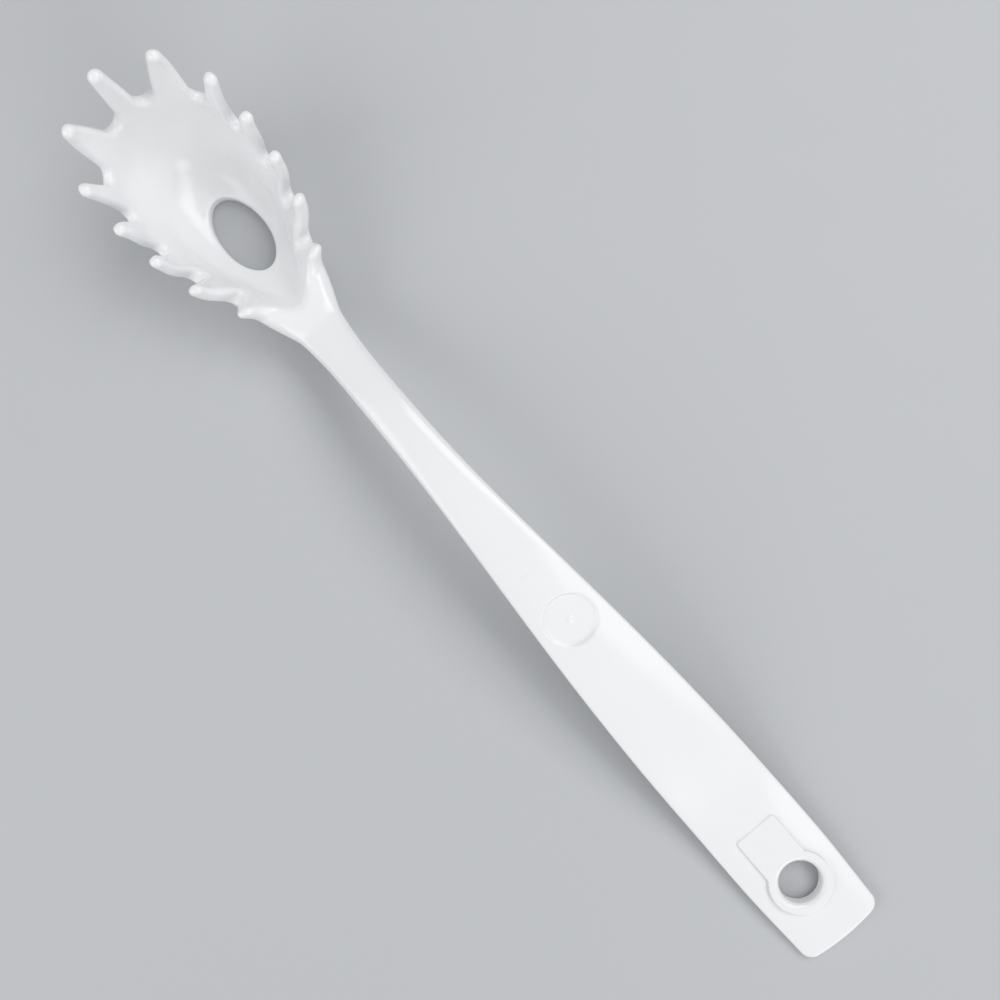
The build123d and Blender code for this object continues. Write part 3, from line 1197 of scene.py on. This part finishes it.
@dataclass
class HangingEnd(Piece):
    """The end of the handle with its hanging hole, the raised ring round it and the bare panel beside it.

    Attributes:
        step: Size of a quad of its surface.
        hole_radius: Radius of the hanging hole.
        hole_inset: How far its middle is from the end of the handle.
        lip_radius: Radius of the hole's upper edge.
        under_lip_radius: Radius of its lower edge.
        collar_radius: Outer radius of the ring.
        panel_width: Width of the panel.
        panel_reach: How far the panel reaches from the middle of the hole.
        panel_step: Height of the panel and the ring at the hole.
        panel_slope: How steeply their top rises towards the grip, in degrees.
        panel_corner: Radius of the panel's corners, seen from above.
        step_edge: Radius of the upper edge of their step.
        step_fillet: Radius at the foot of the step.
        root_depth: How far the panel and the ring reach down into the handle.
    """

    step: float = 0.24
    hole_radius: float = 6.1
    hole_inset: float = 21.2
    lip_radius: float = 1.5
    under_lip_radius: float = 0.4
    collar_radius: float = 9.2
    panel_width: float = 13.4
    panel_reach: float = 20.4
    panel_step: float = 0.75
    panel_slope: float = 2.0
    panel_corner: float = 0.9
    step_edge: float = 0.22
    step_fillet: float = 0.22
    root_depth: float = 1.6

    def distance(self, x: np.ndarray, y: np.ndarray, z: np.ndarray) -> np.ndarray:
        """Distance to the hanging end.

        Args:
            x: Place along the server.
            y: Place across it.
            z: Height.

        Returns:
            The distance field of the hanging end.
        """
        hole_x = self.handle.end_x + self.hole_inset
        dx = x - hole_x
        radius = np.hypot(dx, y)
        top = self.handle.top_height(hole_x) + self.panel_step
        slope = math.radians(self.panel_slope)
        face = (z - top - dx * math.tan(slope)) * math.cos(slope)
        side = np.abs(y) - self.panel_width / 2
        length = np.abs(dx - self.panel_reach / 2) - self.panel_reach / 2
        panel = round_max(length, side, self.panel_corner)
        keyhole = np.minimum(radius - self.collar_radius, panel)
        root = self.panel_step + self.root_depth
        pad = np.maximum(round_max(face, keyhole, self.step_edge), -face - root)
        raised = round_min(self.handle.distance(x, y, z), pad, self.step_fillet)
        hole = self.hole_radius - radius
        lipped = round_max(raised, hole, self.lip_radius)
        plain = round_max(raised, hole, self.under_lip_radius)
        return np.where(face > -root, lipped, plain)


class Socket:
    """An output socket on which sums can be written as plain Python."""

    def __init__(self, tree: "NodeTree", socket: bpy.types.NodeSocket) -> None:
        """Wrap a socket of a tree."""
        self.tree, self.socket = tree, socket

    def math(self, operation: str, other: "Socket | float | None" = None, swap: bool = False) -> "Socket":
        """Add a Math node on this socket.

        Args:
            operation: What the node works out.
            other: The second value, if the operation has one.
            swap: True if the second value comes first.

        Returns:
            The node's output.
        """
        values = [self] if other is None else [other, self] if swap else [self, other]
        return self.tree.node("ShaderNodeMath", {"operation": operation}, dict(enumerate(values)))

    def __add__(self, other: "Socket | float") -> "Socket":
        """Sum."""
        return self.math("ADD", other)

    __radd__ = __add__

    def __mul__(self, other: "Socket | float") -> "Socket":
        """Product."""
        return self.math("MULTIPLY", other)

    __rmul__ = __mul__

    def __sub__(self, other: "Socket | float") -> "Socket":
        """Difference."""
        return self.math("SUBTRACT", other)

    def __rsub__(self, other: "Socket | float") -> "Socket":
        """Difference from a plain number."""
        return self.math("SUBTRACT", other, swap=True)

    def __truediv__(self, other: "Socket | float") -> "Socket":
        """Quotient."""
        return self.math("DIVIDE", other)

    def __mod__(self, other: "Socket | float") -> "Socket":
        """Remainder."""
        return self.math("MODULO", other)

    def pushed_out(self, power: "Socket | float") -> "Socket":
        """This value between -1 and 1, pushed towards its ends by a power below 1."""
        return self.math("ABSOLUTE").math("POWER", power) * self.math("SIGN")


class NodeTree:
    """A tree of nodes that is written as Python expressions."""

    def __init__(self, tree: bpy.types.NodeTree) -> None:
        """Take an empty tree."""
        self.tree = tree
        self.tree.nodes.clear()

    def node(
        self, kind: str, settings: dict[str, object], inputs: dict[object, object], output: object = 0
    ) -> Socket | None:
        """Add a node.

        Args:
            kind: The node's type.
            settings: Values set on the node first.
            inputs: Values or links for its input sockets, by name or number.
            output: Name or number of the output that is returned.

        Returns:
            The node's output socket, or None for a node without outputs.
        """
        made = self.tree.nodes.new(kind)
        for key, value in settings.items():
            setattr(made, key, value)
        for key, value in inputs.items():
            if isinstance(value, Socket):
                self.tree.links.new(value.socket, made.inputs[key])
            else:
                made.inputs[key].default_value = value
        return Socket(self, made.outputs[output]) if made.outputs else None

    def noise(self, place: Socket, scale: float, detail: float) -> Socket:
        """A cloudy pattern between 0 and 1 at a scale in patches per metre."""
        return self.node("ShaderNodeTexNoise", {}, {"Vector": place, "Scale": scale, "Detail": detail}, "Fac")


@dataclass
class SweepTree:
    """Geometry Nodes that sweep a rounded section along a line which carries the section's sizes.

    Attributes:
        name: Name of the tree.
        seam: Distance in metres below which the points along the seam are merged.
        identifiers: Identifier of each named input.
        group: The tree.
    """

    name: str = "swept_section"
    seam: float = 1e-6
    identifiers: dict[str, str] = field(init=False, default_factory=dict)
    group: bpy.types.NodeTree = field(init=False)

    def __post_init__(self) -> None:
        """Make the tree, with its named inputs."""
        self.group = bpy.data.node_groups.new(self.name, "GeometryNodeTree")
        tree, interface = NodeTree(self.group), self.group.interface
        for name, kind in (
            ("Line", "NodeSocketGeometry"),
            ("Sections", "NodeSocketInt"),
            ("Points Around", "NodeSocketInt"),
            ("Corner Power", "NodeSocketFloat"),
            ("Side Inset", "NodeSocketFloat"),
            ("Finish", "NodeSocketMaterial"),
        ):
            made = interface.new_socket(name, in_out="INPUT", socket_type=kind)
            self.identifiers[name] = made.identifier
        interface.new_socket("Piece", in_out="OUTPUT", socket_type="NodeSocketGeometry")
        given = {name: tree.node("NodeGroupInput", {}, {}, name) for name in self.identifiers}

        columns = given["Points Around"] + 1
        moved = self.place(tree, given, columns)
        counts = {"Vertices X": given["Sections"], "Vertices Y": columns}
        shape = tree.node("GeometryNodeMeshGrid", {}, counts)
        shape = tree.node("GeometryNodeSetPosition", {}, {"Geometry": shape, "Position": moved})
        shape = tree.node("GeometryNodeMergeByDistance", {}, {"Geometry": shape, "Distance": self.seam})
        shape = tree.node("GeometryNodeRealizeInstances", {}, {"Geometry": shape})
        shape = tree.node("GeometryNodeSetMaterial", {}, {"Geometry": shape, "Material": given["Finish"]})
        tree.node("NodeGroupOutput", {}, {0: shape})

    def place(self, tree: NodeTree, given: dict[str, Socket], columns: Socket) -> Socket:
        """Work out where each point of the grid goes: its section from its row, its turn from its column.

        Args:
            tree: The tree.
            given: The tree's inputs, by name.
            columns: Number of points in a row of the grid.

        Returns:
            The place of each point.
        """
        index = tree.node("GeometryNodeInputIndex", {}, {})
        section = (index / columns).math("FLOOR")
        turn = (index % columns) / given["Points Around"] * math.tau
        place = tree.node("GeometryNodeInputPosition", {}, {})
        x = self.sample(tree, given["Line"], tree.node("ShaderNodeSeparateXYZ", {}, {0: place}), section)
        names = ("half_width", "edge_height", "crown", "depth")
        sizes = [tree.node("GeometryNodeInputNamedAttribute", {}, {"Name": name}) for name in names]
        half_width, edge, crown, depth = (self.sample(tree, given["Line"], size, section) for size in sizes)
        across = turn.math("COSINE").pushed_out(given["Corner Power"])
        share = (turn.math("SINE").pushed_out(given["Corner Power"]) + 1) * 0.5
        under = edge - depth
        top = edge + crown * (1 - across * across)
        y = across * (half_width - given["Side Inset"] * (1 - share))
        return tree.node("ShaderNodeCombineXYZ", {}, {0: x, 1: y, 2: under + (top - under) * share})

    def sample(self, tree: NodeTree, line: Socket, value: Socket, number: Socket) -> Socket:
        """A value of the line at its point with the given number."""
        return tree.node("GeometryNodeSampleIndex", {}, {"Geometry": line, "Value": value, "Index": number})

    def run(self, line: bpy.types.Mesh, values: dict[str, object]) -> bpy.types.Mesh:
        """Sweep the section along a line.

        Args:
            line: The line, with the attributes half_width, edge_height, crown and depth on its points.
            values: The tree's other inputs, by name.

        Returns:
            The swept surface as a plain mesh.
        """
        carrier = add_object(self.name, line)
        modifier = carrier.modifiers.new(self.name, "NODES")
        modifier.node_group = self.group
        for name, value in values.items():
            modifier[self.identifiers[name]] = value
        view = bpy.context.evaluated_depsgraph_get()
        mesh = bpy.data.meshes.new_from_object(carrier.evaluated_get(view), depsgraph=view)
        carrier.modifiers.remove(modifier)
        bpy.data.objects.remove(carrier)
        return mesh


@dataclass
class FrontGrip(Piece):
    """The plain front of the grip, swept along the arch of the handle.

    Attributes:
        step: Size of a quad of its surface.
        finish: The grip's material.
        points_around: Number of points round a section.
        corner_power: How square the swept section is before its points settle.
        passes: How often the points are moved onto the handle's surface.
    """

    step: float = 0.80
    finish: bpy.types.Material = field(kw_only=True)
    points_around: int = 160
    corner_power: float = 0.25
    passes: int = 10

    def surface(self) -> bpy.types.Mesh:
        """Sweep the section along the arch and settle its points on the handle's exact surface.

        Returns:
            The mesh, in metres.
        """
        places = np.arange(self.rear_x - self.margin, self.front_x + self.margin, self.step)
        line = bpy.data.meshes.new("arch_line")
        line.from_pydata([(x * MM, 0, 0) for x in places], [(i, i + 1) for i in range(len(places) - 1)], [])
        sizes = {
            "half_width": self.handle.half_width,
            "edge_height": self.handle.edge,
            "crown": self.handle.crown,
            "depth": self.handle.depth,
        }
        for name, profile in sizes.items():
            line.attributes.new(name, "FLOAT", "POINT").data.foreach_set("value", profile.at(places) * MM)
        inputs = {
            "Sections": len(places),
            "Points Around": self.points_around,
            "Corner Power": self.corner_power,
            "Side Inset": self.handle.side_inset * MM,
            "Finish": self.finish,
        }
        mesh = SweepTree().run(line, inputs)
        points = np.empty(len(mesh.vertices) * 3)
        mesh.vertices.foreach_get("co", points)
        settled = settle(points.reshape(-1, 3) / MM, self.distance, self.step, self.passes)
        mesh.vertices.foreach_set("co", (settled * MM).ravel())
        mesh.update()
        return mesh


@dataclass(frozen=True)
class GlossPlastic:
    """White moulded plastic with a soft gloss, faint clouds in its colour and a slightly wavy skin.

    Attributes:
        name: Name of the material.
        light: Its colour where it is lightest.
        dark: Its colour where it is darkest.
        cloud_scale: Number of clouds per metre.
        cloud_detail: How broken up the clouds are.
        cloud_share: Share of the clouds in the colour, the rest being grain.
        grain_scale: Number of grains per metre.
        grain_detail: How broken up the grain is.
        ripple_scale: Number of ripples per metre.
        ripple_detail: How broken up the ripples are.
        ripple_share: Share of the ripples in the relief, the rest being grain.
        roughness: Mean roughness.
        roughness_spread: How far the roughness varies.
        bump_strength: Strength of the relief.
        bump_depth: Its depth in metres.
        refraction: Refractive index.
    """

    name: str = "white_plastic"
    light: tuple[float, float, float, float] = (0.86, 0.865, 0.87, 1.0)
    dark: tuple[float, float, float, float] = (0.82, 0.825, 0.835, 1.0)
    cloud_scale: float = 55.0
    cloud_detail: float = 4.0
    cloud_share: float = 0.7
    grain_scale: float = 900.0
    grain_detail: float = 2.0
    ripple_scale: float = 140.0
    ripple_detail: float = 1.0
    ripple_share: float = 0.8
    roughness: float = 0.17
    roughness_spread: float = 0.06
    bump_strength: float = 0.05
    bump_depth: float = 0.0002
    refraction: float = 1.49

    def build(self) -> bpy.types.Material:
        """Make the material.

        Returns:
            The material.
        """
        material = bpy.data.materials.new(self.name)
        material.use_nodes = True
        tree = NodeTree(material.node_tree)
        place = tree.node("ShaderNodeTexCoord", {}, {}, "Object")
        clouds = tree.noise(place, self.cloud_scale, self.cloud_detail)
        grain = tree.noise(place, self.grain_scale, self.grain_detail)
        ripple = tree.noise(place, self.ripple_scale, self.ripple_detail)
        tone = clouds * self.cloud_share + grain * (1 - self.cloud_share)
        shades = {MIX_SHARE: tone, MIX_FIRST: self.dark, MIX_SECOND: self.light}
        colour = tree.node("ShaderNodeMix", {"data_type": "RGBA"}, shades, MIX_COLOUR)
        roughness = grain * self.roughness_spread + (self.roughness - self.roughness_spread / 2)
        height = ripple * self.ripple_share + grain * (1 - self.ripple_share)
        bump = {"Height": height, "Strength": self.bump_strength, "Distance": self.bump_depth}
        values = {
            "Base Color": colour,
            "Roughness": roughness,
            "Normal": tree.node("ShaderNodeBump", {}, bump),
            "IOR": self.refraction,
        }
        surface = tree.node("ShaderNodeBsdfPrincipled", {}, values)
        tree.node("ShaderNodeOutputMaterial", {}, {"Surface": surface})
        return material


@dataclass(frozen=True)
class PaleFloor:
    """Plain pale floor under the server.

    Attributes:
        name: Name of the material.
        colour: Its colour.
        grain_scale: Number of grains per metre.
        grain_detail: How broken up the grain is.
        roughness: Least roughness.
        roughness_spread: How far the roughness varies.
    """

    name: str = "pale_floor"
    colour: tuple[float, float, float, float] = (0.50, 0.51, 0.52, 1.0)
    grain_scale: float = 60.0
    grain_detail: float = 2.0
    roughness: float = 0.6
    roughness_spread: float = 0.1

    def build(self) -> bpy.types.Material:
        """Make the material.

        Returns:
            The material.
        """
        material = bpy.data.materials.new(self.name)
        material.use_nodes = True
        tree = NodeTree(material.node_tree)
        place = tree.node("ShaderNodeTexCoord", {}, {}, "Object")
        grain = tree.noise(place, self.grain_scale, self.grain_detail)
        roughness = grain * self.roughness_spread + self.roughness
        values = {"Base Color": self.colour, "Roughness": roughness}
        surface = tree.node("ShaderNodeBsdfPrincipled", {}, values)
        tree.node("ShaderNodeOutputMaterial", {}, {"Surface": surface})
        return material


@dataclass(frozen=True)
class Lamp:
    """A soft rectangular lamp that faces the server.

    Attributes:
        name: Name of the lamp.
        place: Where it hangs, in metres.
        size: Its width and height, in metres.
        power: Its power, in watts.
    """

    name: str
    place: tuple[float, float, float]
    size: tuple[float, float]
    power: float

    def build(self) -> None:
        """Hang the lamp."""
        data = bpy.data.lights.new(self.name, "AREA")
        data.shape = "RECTANGLE"
        data.size, data.size_y = self.size
        data.energy = self.power
        made = bpy.data.objects.new(self.name, data)
        made.location = self.place
        made.rotation_euler = (-Vector(self.place)).to_track_quat("-Z", "Y").to_euler()
        bpy.context.scene.collection.objects.link(made)


@dataclass
class Stage:
    """Floor, light and camera, in metres.

    Attributes:
        front_x: Where the server's front tooth ends.
        camera_offset: Where the photograph was taken from, counted from the front tooth's end.
        heading: Direction of the handle in the photograph, in degrees.
        nadir: Pixel in which the point straight below the camera lies.
        image_centre: Pixel in the middle of the photograph, the same along and across.
        focal_pixels: Focal length in pixels of the photograph.
        image_pixels: Width of the photograph in pixels.
        sensor: Width of the camera's sensor, in millimetres.
        clip_near: Nearest distance the camera shows.
        clip_far: Farthest distance it shows.
        floor_reach: How far the floor reaches on each side.
        floor_gap: How far the floor lies below the server.
        sky_colour: Colour of the even light from all round.
        sky_strength: Strength of that light.
        lamps: The lamps.
    """

    front_x: float
    camera_offset: tuple[float, float, float] = (-0.14225, -0.0149, 0.287)
    heading: float = 49.29
    nadir: tuple[float, float] = (523.0, 479.0)
    image_centre: float = 500.0
    focal_pixels: float = 1000.0
    image_pixels: float = 1000.0
    sensor: float = 36.0
    clip_near: float = 0.01
    clip_far: float = 20.0
    floor_reach: float = 3.0
    floor_gap: float = 0.0001
    sky_colour: tuple[float, float, float, float] = (0.95, 0.97, 1.0, 1.0)
    sky_strength: float = 0.40
    lamps: Sequence[Lamp] = (
        Lamp("window", (0.12, -0.75, 0.95), (1.0, 0.6), 6.2),
        Lamp("near_fill", (-1.6, 0.1, 0.72), (1.1, 1.1), 8.4),
        Lamp("skylight", (-0.52, -0.42, 0.9), (0.6, 0.4), 1.5),
        Lamp("far_fill", (0.35, 0.95, 0.7), (1.0, 0.8), 5.6),
    )

    def build_camera(self) -> None:
        """Place the camera as the photograph's was."""
        turn = math.radians(self.heading)
        right = Vector((-math.cos(turn), -math.sin(turn), 0))
        down = Vector((-math.sin(turn), math.cos(turn), 0))
        level = Matrix((right, down, (0, 0, -1)))
        offset = [(value - self.image_centre) / self.focal_pixels for value in self.nadir]
        tilt = Vector((0, 0, 1)).rotation_difference(Vector((*offset, 1)).normalized())
        axes = tilt.to_matrix() @ level
        turned = Matrix((axes[0], -axes[1], -axes[2])).transposed()
        data = bpy.data.cameras.new("camera")
        data.sensor_width = self.sensor
        data.lens = self.focal_pixels / self.image_pixels * self.sensor
        data.clip_start, data.clip_end = self.clip_near, self.clip_far
        made = bpy.data.objects.new("camera", data)
        place = Vector((self.front_x, 0, 0)) + Vector(self.camera_offset)
        made.matrix_world = Matrix.Translation(place) @ turned.to_4x4()
        bpy.context.scene.collection.objects.link(made)
        bpy.context.scene.camera = made

    def build_floor(self) -> None:
        """Lay the floor."""
        reach, height = self.floor_reach, -self.floor_gap
        sides = ((-1, 1), (-1, -1), (1, -1), (1, 1))
        corners = [(x * reach, y * reach, height) for x, y in sides]
        mesh = bpy.data.meshes.new("floor")
        mesh.from_pydata(corners, [], [(0, 1, 2, 3)])
        mesh.materials.append(PaleFloor().build())
        add_object("floor", mesh)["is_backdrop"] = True

    def build_sky(self) -> None:
        """Light the scene evenly from all round."""
        world = bpy.data.worlds.new("world")
        world.use_nodes = True
        background = world.node_tree.nodes["Background"]
        background.inputs["Color"].default_value = self.sky_colour
        background.inputs["Strength"].default_value = self.sky_strength
        bpy.context.scene.world = world

    def build(self) -> None:
        """Make the floor, the lamps, the sky and the camera."""
        self.build_floor()
        for lamp in self.lamps:
            lamp.build()
        self.build_sky()
        self.build_camera()
        bpy.context.scene.view_settings.view_transform = "Standard"


def main() -> None:
    """Build the server and its stage, and log how many triangles each piece has."""
    logging.basicConfig(level=logging.INFO, format="%(name)s: %(message)s")
    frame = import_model()
    cad_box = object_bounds()
    teeth = sorted(name for name in frame["nodes"] if "tooth" in name)
    handle = Handle(cad_box[1].x / MM, cad_box[0].x / MM)
    cut_nodes = ("grip_front", "grip_rear", "hanging_end")
    neck_x, middle_x, tail_x = (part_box(name)[1].x / MM for name in cut_nodes)
    plastic = GlossPlastic().build()
    end_nodes = ["hanging_end", "hanging_collar", "end_panel"]
    pieces = (
        Head(handle, "head", ["bowl", "neck", *teeth], rear_x=neck_x, bowl=Bowl(handle.front_x)),
        FrontGrip(handle, "front_grip", ["grip_front"], rear_x=middle_x, front_x=neck_x, finish=plastic),
        RearGrip(handle, "rear_grip", ["grip_rear"], rear_x=tail_x, front_x=middle_x),
        HangingEnd(handle, "hanging_end_with_hole", end_nodes, front_x=tail_x),
    )
    for piece in pieces:
        made = piece.build()
        piece.dress(made, plastic)
        triangles = count_triangles(made.data)
        LOG.info("%s stands for %d nodes with %d triangles", made.name, len(piece.nodes), triangles)
    Stage(cad_box[1].x).build()


if __name__ == "__main__":
    main()
